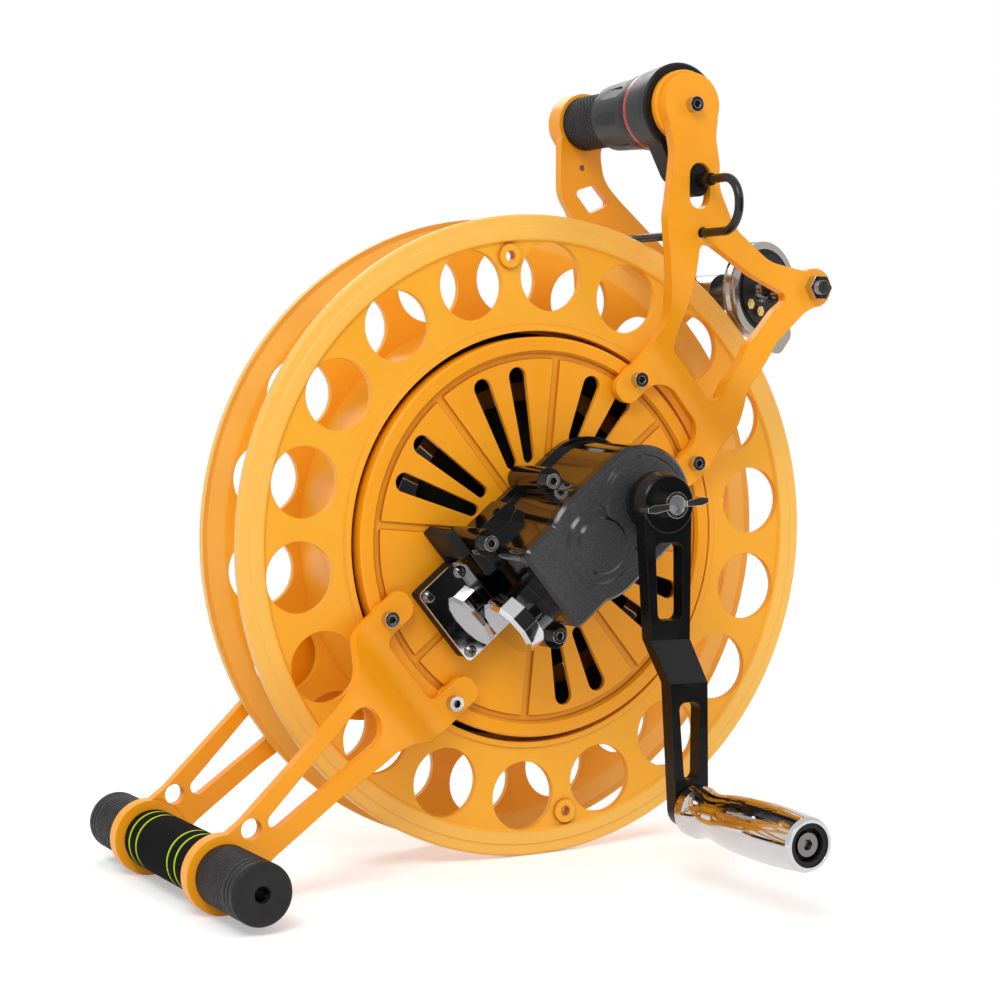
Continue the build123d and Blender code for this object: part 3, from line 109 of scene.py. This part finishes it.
# ---- material helpers --------------------------------------------------------
class Mat:
    """A node tree built with short calls; every texture is procedural."""

    def __init__(self, name):
        self.mat = bpy.data.materials.new(name)
        self.mat.use_nodes = True
        self.tree = self.mat.node_tree
        self.bsdf = next(n for n in self.tree.nodes if n.type == "BSDF_PRINCIPLED")
        self.spot = self.node("ShaderNodeTexCoord").outputs["Object"]

    def node(self, kind, **settings):
        made = self.tree.nodes.new(kind)
        for key, value in settings.items():
            setattr(made, key, value)
        return made

    def link(self, source, target):
        self.tree.links.new(source, target)

    def set(self, **values):
        for key, value in values.items():
            self.bsdf.inputs[key.replace("_", " ")].default_value = value

    def math(self, operation, a, b=None):
        made = self.node("ShaderNodeMath", operation=operation)
        for index, value in enumerate((a, b)):
            if value is None:
                continue
            if isinstance(value, (int, float)):
                made.inputs[index].default_value = value
            else:
                self.link(value, made.inputs[index])
        return made.outputs[0]

    def axes(self, centre):
        """Separate coordinates measured from a centre, in metres."""
        moved = self.node("ShaderNodeVectorMath", operation="SUBTRACT")
        self.link(self.spot, moved.inputs[0])
        moved.inputs[1].default_value = centre
        split = self.node("ShaderNodeSeparateXYZ")
        self.link(moved.outputs[0], split.inputs[0])
        return split.outputs

    def noise(self, scale, detail=4.0, rough=0.5, stretch=None):
        made = self.node("ShaderNodeTexNoise")
        made.inputs["Scale"].default_value = scale
        made.inputs["Detail"].default_value = detail
        made.inputs["Roughness"].default_value = rough
        source = self.spot
        if stretch:
            mapping = self.node("ShaderNodeMapping")
            mapping.inputs["Scale"].default_value = stretch
            self.link(source, mapping.inputs["Vector"])
            source = mapping.outputs[0]
        self.link(source, made.inputs["Vector"])
        return made.outputs["Fac"]

    def ramp(self, fac, stops):
        made = self.node("ShaderNodeValToRGB")
        ramp = made.color_ramp
        while len(ramp.elements) < len(stops):
            ramp.elements.new(0.5)
        for element, (place, value) in zip(ramp.elements, stops):
            element.position = place
            element.color = (*value, 1)
        self.link(fac, made.inputs[0])
        return made.outputs["Color"]

    def spread(self, fac, low, high, a=0.35, b=0.65):
        """Map fac from a..b to low..high."""
        made = self.node("ShaderNodeMapRange")
        for key, value in (("From Min", a), ("From Max", b), ("To Min", low), ("To Max", high)):
            made.inputs[key].default_value = value
        self.link(fac, made.inputs["Value"])
        return made.outputs[0]

    def mix(self, fac, one, two):
        made = self.node("ShaderNodeMix", data_type="RGBA")
        for socket, value in ((made.inputs[0], fac), (made.inputs[6], one), (made.inputs[7], two)):
            if isinstance(value, tuple):
                socket.default_value = (*value, 1)
            else:
                self.link(value, socket)
        return made.outputs[2]

    def painted_nook_shade(self, distance):
        """1 on open faces, falling to 0 in grooves, sockets and inner corners; used as the mask of painted
        shade.
        """
        made = self.node("ShaderNodeAmbientOcclusion", samples=8, only_local=True)
        made.inputs["Distance"].default_value = distance
        return made.outputs["AO"]

    def facing_front(self, least=0.985):
        """1 where the face looks along -Y, such as the front of a cover."""
        split = self.node("ShaderNodeSeparateXYZ")
        self.link(self.node("ShaderNodeNewGeometry").outputs["Normal"], split.inputs[0])
        return self.spread(self.math("MULTIPLY", split.outputs[1], -1.0), 0.0, 1.0, least, least + 0.01)

    def colour(self, source):
        self.link(source, self.bsdf.inputs["Base Color"])

    def rough(self, source):
        self.link(source, self.bsdf.inputs["Roughness"])

    def surface(self, heights, bevel):
        """Bumps (height, distance in metres, strength) on top of edges that are
        softly broken over the bevel's radius, in metres; 0 leaves them sharp."""
        normal = None
        if bevel:
            edge = self.node("ShaderNodeBevel", samples=6)
            edge.inputs["Radius"].default_value = bevel
            normal = edge.outputs[0]
        for height, distance, strength in heights:
            bump = self.node("ShaderNodeBump")
            bump.inputs["Distance"].default_value = distance
            if isinstance(strength, float):
                bump.inputs["Strength"].default_value = strength
            else:
                self.link(strength, bump.inputs["Strength"])
            self.link(height, bump.inputs["Height"])
            if normal is not None:
                self.link(normal, bump.inputs["Normal"])
            normal = bump.outputs[0]
        self.link(normal, self.bsdf.inputs["Normal"])


# ---- materials ---------------------------------------------------------------
# noise that several plastics share, as scale and detail
DRIFT = (9.0, 3.0)                           # slow change of tone
HANDLING = (60.0, 5.0)                       # change of roughness
WAVINESS = (38.0, 2.0)                       # unevenness of a moulded face


def orange(name, deep, light, rough, rough_high, rim=None):
    """Moulded orange: faint tone drift, fine grain, painted shade darkening the nooks; rim lightens
    the band outside that radius from the spool axis, a painted highlight."""
    # colours of the painted highlight on the spool's rim band and of the painted shade in nooks
    painted_rim_highlight, painted_nook_colour = (0.93, 0.50, 0.085), (0.50, 0.115, 0.002)
    m = Mat(name)
    m.set(Specular_IOR_Level=0.34)
    tone = m.ramp(m.noise(*DRIFT), [(0.3, deep), (0.7, light)])
    if rim:
        split = m.axes(SPOOL)
        x, z = split["X"], split["Z"]
        radius = m.math("SQRT", m.math("ADD", m.math("MULTIPLY", x, x), m.math("MULTIPLY", z, z)))
        # painted highlight: the band outside the rim radius takes the paler colour
        tone = m.mix(m.spread(radius, 0.0, 1.0, rim - 0.001, rim + 0.001), tone, painted_rim_highlight)
    # painted shade: grooves, holes and inner corners take the deep orange-brown
    shade = m.spread(m.painted_nook_shade(0.006), 0.0, 1.0, 0.35, 0.85)
    m.colour(m.mix(shade, painted_nook_colour, tone))
    m.rough(m.spread(m.noise(*HANDLING), rough, rough_high))
    m.surface([(m.noise(2600.0, 2.0), 0.00004, 0.30), (m.noise(*WAVINESS), 0.00012, 0.10)], bevel=0.0008)
    return m.mat


def moulded(name, deep, light, rough, rough_high, grain=2600.0, depth=0.00004, bevel=0.0007, coat=0.0,
            specular=0.4):
    """Injection-moulded plastic: faint tone drift, fine grain, soft edges."""
    m = Mat(name)
    m.set(Specular_IOR_Level=specular, Coat_Weight=coat, Coat_Roughness=0.10)
    m.colour(m.ramp(m.noise(*DRIFT), [(0.3, deep), (0.7, light)]))
    m.rough(m.spread(m.noise(*HANDLING), rough, rough_high))
    m.surface([(m.noise(grain, 2.0), depth, 0.35), (m.noise(*WAVINESS), 0.00012, 0.12)], bevel)
    return m.mat


def metal(name, tone, rough, rough_high, brush=None, bevel=0.0004, painted_nook_shade=0.0):
    """Metal with fine wear in its roughness and, where brushed, a grain; the last argument is
    the depth over which painted shade turns sockets and corners dark."""
    m = Mat(name)
    m.set(Metallic=1.0)
    dark = tuple(0.9 * c for c in tone)
    base = m.ramp(m.noise(26.0, 4.0), [(0.3, dark), (0.7, tone)])
    if painted_nook_shade:
        # painted shade: sockets and corners darkened to near-black by the occlusion mask
        base = m.mix(m.spread(m.painted_nook_shade(painted_nook_shade), 0.0, 1.0, 0.45, 0.80), (0.02, 0.018, 0.016), base)
    m.colour(base)
    m.rough(m.spread(m.noise(180.0, 6.0, 0.6), rough, rough_high))
    bumps = [(m.noise(30.0, 2.0), 0.0001, 0.06)]
    if brush:
        bumps.append((m.noise(700.0, 2.0, 0.5, brush), 0.00003, 0.4))
    m.surface(bumps, bevel)
    return m.mat


def casting():
    """Black casting: wrinkled charcoal paint on the faces that look to the front,
    smooth and glossy on its borders and everywhere else."""
    m = Mat("black_casting")
    m.set(Specular_IOR_Level=0.5)
    flat = m.facing_front()
    cells = m.node("ShaderNodeTexVoronoi", feature="SMOOTH_F1")
    cells.inputs["Scale"].default_value = 950.0
    cells.inputs["Smoothness"].default_value = 0.5
    m.link(m.spot, cells.inputs["Vector"])
    grain = cells.outputs["Distance"]
    leather = m.ramp(grain, [(0.15, (0.050, 0.050, 0.053)), (0.75, (0.026, 0.026, 0.028))])
    m.colour(m.mix(flat, (0.006, 0.006, 0.007), leather))
    m.rough(m.spread(flat, 0.16, 0.50, 0.0, 1.0))
    m.surface([(grain, 0.0004, m.math("MULTIPLY", flat, 0.6))], bevel=0.0010)
    return m.mat


def rubber(name, tone, open_tone):
    """Matt rubber, paler on the tops of its dots: painted shade darkens its hollows."""
    m = Mat(name)
    m.set(Specular_IOR_Level=0.28)
    # painted shade: the dot hollows take the darker tone, open faces the lighter one
    m.colour(m.mix(m.spread(m.painted_nook_shade(0.0012), 0.0, 1.0, 0.45, 0.95), tone, open_tone))
    m.rough(m.spread(m.noise(240.0), 0.48, 0.62))
    m.surface([(m.noise(1800.0), 0.00005, 0.3)], bevel=0.0004)
    return m.mat


def foam():
    """Black foam with thin yellow-green rings."""
    m = Mat("foam")
    m.set(Specular_IOR_Level=0.05)
    along = m.axes(at(BAR_X, 0, BAR_Z))["Y"]
    ring = None
    for middle in FOAM_RINGS:
        away = m.math("ABSOLUTE", m.math("SUBTRACT", along, middle * MM))
        near = m.math("LESS_THAN", away, FOAM_RING_HALF * MM)
        ring = near if ring is None else m.math("MAXIMUM", ring, near)
    speck = m.noise(900.0, 6.0, 0.7)
    black = m.ramp(speck, [(0.3, (0.004, 0.004, 0.004)), (0.75, (0.013, 0.012, 0.013))])
    m.colour(m.mix(ring, black, (0.42, 0.60, 0.02)))
    m.rough(m.spread(speck, 0.85, 0.97))
    m.surface([(speck, 0.0003, 0.5)], bevel=0)
    return m.mat


ORANGE = orange("orange_shell", (0.90, 0.330, 0.004), (0.95, 0.380, 0.008), 0.30, 0.40)
# the paler band outside the rim radius of the spool is a painted highlight
ORANGE_SPOOL = orange("orange_spool", (0.90, 0.385, 0.015), (0.95, 0.440, 0.026), 0.32, 0.44, rim=0.1665)
BLACK = moulded("black_plastic", (0.006, 0.006, 0.006), (0.011, 0.011, 0.011), 0.30, 0.44, specular=0.22)
SHELL = moulded("black_shell", (0.004, 0.004, 0.004), (0.008, 0.007, 0.006), 0.07, 0.15, 900.0, 0.00001,
                coat=0.5)
ENAMEL = moulded("black_enamel", (0.003, 0.003, 0.003), (0.006, 0.006, 0.006), 0.20, 0.30, 700.0, 0.00002,
                 specular=0.22)
DARK = moulded("dark_web", (0.006, 0.006, 0.006), (0.014, 0.014, 0.014), 0.5, 0.65, specular=0.25)
RED = moulded("red_ring", (0.40, 0.010, 0.008), (0.52, 0.018, 0.012), 0.2, 0.3, coat=0.2)
LINING = moulded("lining", (0.10, 0.075, 0.05), (0.16, 0.12, 0.08), 0.75, 0.9, 900.0, 0.0002)
SHEATH = moulded("cable_sheath", (0.004, 0.004, 0.004), (0.009, 0.009, 0.009), 0.18, 0.28, bevel=0.0)
CHROME = metal("polished_alloy", (0.58, 0.58, 0.59), 0.02, 0.06)
SCREW = metal("bright_steel", (0.62, 0.61, 0.59), 0.07, 0.16, bevel=0.0003, painted_nook_shade=0.0035)
STEEL = metal("steel", (0.50, 0.50, 0.51), 0.24, 0.4, brush=(1.0, 30.0, 1.0))
SATIN = metal("satin_alloy", (0.38, 0.35, 0.32), 0.14, 0.24)
BRASS = metal("brass", (0.72, 0.48, 0.16), 0.16, 0.3, painted_nook_shade=0.002)
PLATE_SCREW = metal("dark_screw", (0.20, 0.19, 0.18), 0.12, 0.22, bevel=0.0003, painted_nook_shade=0.0015)
FOAM = foam()
GRIP_RUBBER = rubber("grip_rubber", (0.004, 0.004, 0.005), (0.013, 0.012, 0.013))
FINISHES = {
    "orange_shell": ORANGE, "orange_spool": ORANGE_SPOOL, "dark_web": DARK, "black_plastic": BLACK,
    "red_ring": RED, "grip_rubber": GRIP_RUBBER, "foam": FOAM, "cable_sheath": SHEATH, "steel": STEEL,
    "bright_steel": SCREW, "polished_alloy": CHROME, "satin_alloy": SATIN, "black_shell": SHELL,
    "black_casting": casting(), "black_enamel": ENAMEL, "brass": BRASS, "lining": LINING,
}
OWN_FINISH = {"side_plate_screws": PLATE_SCREW, "crank_grip_bolt": PLATE_SCREW}


def dress_nodes():
    for part in frame["record"]["subparts"]:
        thing = nodes[part["node"]]
        thing.data.materials.clear()
        thing.data.materials.append(OWN_FINISH.get(part["node"], FINISHES[part["material_slot"]]))


# ---- turned pieces: foam sleeve and dotted grips -----------------------------
def lathe(name, profile, centre, material, steps=96, relief=None):
    """Closed body turned about an axis along Y. profile holds (radius, Y, lift)
    in millimetres; relief(angle, Y) is added to the radius where lift is 1."""
    count = len(profile)
    points, faces = [], []
    for turn in range(steps):
        angle = 2 * math.pi * turn / steps
        for radius, y, lift in profile:
            reach = radius + (relief(angle, y) if lift else 0.0)
            points.append(centre + Vector((reach * math.cos(angle), y, reach * math.sin(angle))) * MM)
    for turn in range(steps):
        for index in range(count):
            after, beside = (index + 1) % count, (turn + 1) % steps
            faces.append((turn * count + index, turn * count + after,
                          beside * count + after, beside * count + index))
    mesh = bpy.data.meshes.new(name)
    mesh.from_pydata(points, [], faces)
    mesh.shade_smooth()
    mesh.set_sharp_from_angle(angle=math.radians(50))
    mesh.materials.append(material)
    made = bpy.data.objects.new(name, mesh)
    scene.collection.objects.link(made)
    return made


def replace(piece, node):
    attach(piece, body_of(node))
    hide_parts(node)


def foam_sleeve():
    """Foam tube, a little tight under each coloured ring and rounded at its ends."""
    rings = 130
    profile = [(BAR_R + FOAM_GAP, FOAM_FRONT, 0)]
    for index in range(rings + 1):
        y = FOAM_FRONT + (FOAM_BACK - FOAM_FRONT) * index / rings
        end = min(index, rings - index) * (FOAM_BACK - FOAM_FRONT) / rings
        radius = FOAM_R - FOAM_END_DROP * math.exp(-end / FOAM_SOFTNESS)
        for middle in FOAM_RINGS:
            radius -= FOAM_RING_DENT * math.exp(-((y - middle) / FOAM_SOFTNESS) ** 2)
        profile.append((radius, y, 0))
    profile.append((BAR_R + FOAM_GAP, FOAM_BACK, 0))
    piece = lathe("foam_sleeve_soft", profile, at(BAR_X, 0, BAR_Z), FOAM)
    replace(piece, "foam_sleeve")


def dots(around, pitch, depth, start, end):
    """Rows of oval dots, every other row half a dot on, between two Y values."""
    def relief(angle, y):
        if not start < y < end:
            return 0.0
        row = math.cos(2 * math.pi * (y - start) / pitch)
        wave = math.cos(around * angle) * row
        return -depth * (1 - min(1.0, max(0.0, 0.5 + DOT_STEEPNESS * wave)))
    return relief


def foot_grip(name, node, ends):
    """Rubber grip: a dotted band, two grooves and a closed end with its hole."""
    inner, outer = ends
    way = 1 if outer > inner else -1
    cap = outer - way * GRIP_CAP_T
    band = sorted((inner + way * BAND_FROM_INNER, cap - way * BAND_FROM_CAP))
    rings = 78
    profile = [(BAR_R + GRIP_GAP, inner, 0), (GRIP_R - GRIP_EDGE, inner, 0)]
    profile.append((GRIP_R, inner + way * GRIP_EDGE, 0))
    for index in range(rings + 1):
        y = band[0] + (band[1] - band[0]) * index / rings
        profile.append((GRIP_R, y if way > 0 else band[0] + band[1] - y, 1))
    for distance in GROOVES_FROM_CAP:
        groove = cap - way * distance
        for shift, depth in GROOVE_SECTION:
            profile.append((GRIP_R - depth, groove + way * shift, 0))
    for step in range(GRIP_ROUND_STEPS + 1):
        lean = math.radians(90 * step / GRIP_ROUND_STEPS)
        radius = GRIP_R - GRIP_ROUND + GRIP_ROUND * math.cos(lean)
        profile.append((radius, outer - way * (GRIP_ROUND - GRIP_ROUND * math.sin(lean)), 0))
    profile += [(GRIP_HOLE_R + GRIP_HOLE_EDGE, outer, 0), (GRIP_HOLE_R, outer - way * GRIP_HOLE_EDGE, 0)]
    profile += [(GRIP_HOLE_R, cap, 0), (BAR_R + GRIP_GAP, cap, 0)]
    relief = dots(*FOOT_DOTS, band[0] + BAND_MARGIN, band[1] - BAND_MARGIN)
    if way < 0:
        profile.reverse()
    piece = lathe(name, profile, at(BAR_X, 0, BAR_Z), GRIP_RUBBER, FOOT_GRIP_STEPS, relief)
    replace(piece, node)


def handle_grip():
    """Rubber sleeve of the handle with a close pattern of oval dots."""
    front, back = HANDLE_GRIP
    length = back - front - 2 * GRIP_EDGE
    rings = 96
    profile = [(HANDLE_ROD_R + GRIP_GAP, front, 0), (HANDLE_GRIP_R - GRIP_EDGE, front, 0)]
    for index in range(rings + 1):
        profile.append((HANDLE_GRIP_R, front + GRIP_EDGE + length * index / rings, 1))
    profile += [(HANDLE_GRIP_R - GRIP_EDGE, back, 0), (HANDLE_ROD_R + GRIP_GAP, back, 0)]
    relief = dots(*HANDLE_DOTS, front + HANDLE_MARGIN, back - HANDLE_MARGIN)
    centre = at(HANDLE_X, 0, HANDLE_Z)
    piece = lathe("handle_grip_dotted", profile, centre, GRIP_RUBBER, HANDLE_GRIP_STEPS, relief)
    replace(piece, "handle_grip")


# ---- floor, light and camera -------------------------------------------------
FLOOR_RADIUS = 1.7
FLOOR_GLOW = 0.30                            # added for the rays that see the background
CARD_PLACE = (0.40, -0.74, 0.31)
CARD_SIZE = (0.95, 0.6, 1.0)
CARD_TURN = 28                               # degrees about Z
ROOM = {"From Min": -0.1, "From Max": 0.56, "To Min": 0.33, "To Max": 0.80}


def background_rays(tree):
    """1 for camera, glossy and transmission rays, which see the plain background."""
    path = tree.nodes.new("ShaderNodeLightPath")
    total = path.outputs["Is Camera Ray"]
    for name in ("Is Glossy Ray", "Is Transmission Ray"):
        most = tree.nodes.new("ShaderNodeMath")
        most.operation = "MAXIMUM"
        tree.links.new(total, most.inputs[0])
        tree.links.new(path.outputs[name], most.inputs[1])
        total = most.outputs[0]
    return total


def floor():
    """Round pale floor: it keeps the shadow and shows as the white background."""
    bpy.ops.mesh.primitive_circle_add(vertices=96, radius=FLOOR_RADIUS, fill_type="NGON", location=(0, 0, 0))
    plane = bpy.context.object
    plane.name = "floor"
    m = Mat("floor")
    m.set(Base_Color=(0.9, 0.9, 0.9, 1), Roughness=0.9, Specular_IOR_Level=0.0)
    shown = background_rays(m.tree)
    glow = m.node("ShaderNodeEmission")
    glow.inputs["Strength"].default_value = FLOOR_GLOW
    both, choose = m.node("ShaderNodeAddShader"), m.node("ShaderNodeMixShader")
    out = next(n for n in m.tree.nodes if n.type == "OUTPUT_MATERIAL")
    m.link(m.bsdf.outputs[0], both.inputs[0])
    m.link(glow.outputs[0], both.inputs[1])
    m.link(shown, choose.inputs[0])
    m.link(m.bsdf.outputs[0], choose.inputs[1])
    m.link(both.outputs[0], choose.inputs[2])
    m.link(choose.outputs[0], out.inputs["Surface"])
    plane.data.materials.append(m.mat)


def card():
    """Dark studio card outside the view, that the faces on the front mirror;
    the camera doesn't see it, and it casts no shadow and lights nothing."""
    bpy.ops.mesh.primitive_plane_add(size=1.0, location=CARD_PLACE)
    flag = bpy.context.object
    flag.name = "studio_card"
    flag.scale = CARD_SIZE
    flag.rotation_euler = (math.radians(90), 0, math.radians(CARD_TURN))
    m = Mat("studio_card")
    m.set(Roughness=1.0, Specular_IOR_Level=0.0)
    m.colour(m.ramp(m.noise(2.2, 2.0), [(0.42, (0.004, 0.004, 0.004)), (0.62, (0.05, 0.05, 0.05))]))
    flag.data.materials.append(m.mat)
    flag.visible_camera = flag.visible_diffuse = flag.visible_shadow = False


def world():
    """White for camera, glossy and transmission rays; the light on the object
    comes from a soft room, brighter from above."""
    made = bpy.data.worlds.new("studio")
    made.use_nodes = True
    tree = made.node_tree
    tree.nodes.clear()
    spot, split = tree.nodes.new("ShaderNodeTexCoord"), tree.nodes.new("ShaderNodeSeparateXYZ")
    tree.links.new(spot.outputs["Generated"], split.inputs[0])
    level = tree.nodes.new("ShaderNodeMapRange")
    for key, value in ROOM.items():
        level.inputs[key].default_value = value
    tree.links.new(split.outputs["Z"], level.inputs["Value"])
    room = tree.nodes.new("ShaderNodeBackground")
    tree.links.new(level.outputs[0], room.inputs["Strength"])
    white = tree.nodes.new("ShaderNodeBackground")
    for light in (room, white):
        light.inputs["Color"].default_value = (1, 1, 1, 1)
    choose, out = tree.nodes.new("ShaderNodeMixShader"), tree.nodes.new("ShaderNodeOutputWorld")
    tree.links.new(background_rays(tree), choose.inputs[0])
    tree.links.new(room.outputs[0], choose.inputs[1])
    tree.links.new(white.outputs[0], choose.inputs[2])
    tree.links.new(choose.outputs[0], out.inputs["Surface"])
    scene.world = made


def lamp(name, place, target, width, height, power):
    data = bpy.data.lights.new(name, "AREA")
    data.shape = "RECTANGLE"
    data.size, data.size_y = width, height
    data.energy = power
    made = bpy.data.objects.new(name, data)
    made.location = place
    made.rotation_euler = (Vector(target) - Vector(place)).to_track_quat("-Z", "Y").to_euler()
    scene.collection.objects.link(made)


def camera():
    """The photograph's view, recovered from its concentric circles."""
    made = bpy.data.objects.new("camera", bpy.data.cameras.new("camera"))
    scene.collection.objects.link(made)
    made.data.lens = 82.177
    made.data.sensor_width = 36.0
    made.data.clip_start, made.data.clip_end = 0.05, 30.0
    place = Vector((-0.615389, -1.056407, 0.278716))
    right = Vector((0.875868, -0.48253, -0.004447))
    up = Vector((0.033241, 0.051137, 0.998138))
    back = Vector((-0.481404, -0.874385, 0.060829))
    rows = list(zip(right, up, back, place))
    made.matrix_world = Matrix(rows + [(0, 0, 0, 1)])
    scene.camera = made


dress_nodes()
foam_sleeve()
foot_grip("foot_grip_front_dotted", "foot_grip_front", FRONT_GRIP)
foot_grip("foot_grip_rear_dotted", "foot_grip_rear", REAR_GRIP)
handle_grip()
floor()
card()
world()
lamp("key", place=(-1.1, -1.2, 1.7), target=(0, 0, 0.2), width=0.9, height=0.9, power=20.0)
lamp("fill", place=(1.6, -1.3, 0.8), target=(0, 0, 0.2), width=0.6, height=1.4, power=7.0)
lamp("rim", place=(0.4, 1.6, 1.5), target=(0, 0, 0.25), width=1.2, height=0.6, power=8.0)
camera()
scene.view_settings.view_transform = "Standard"
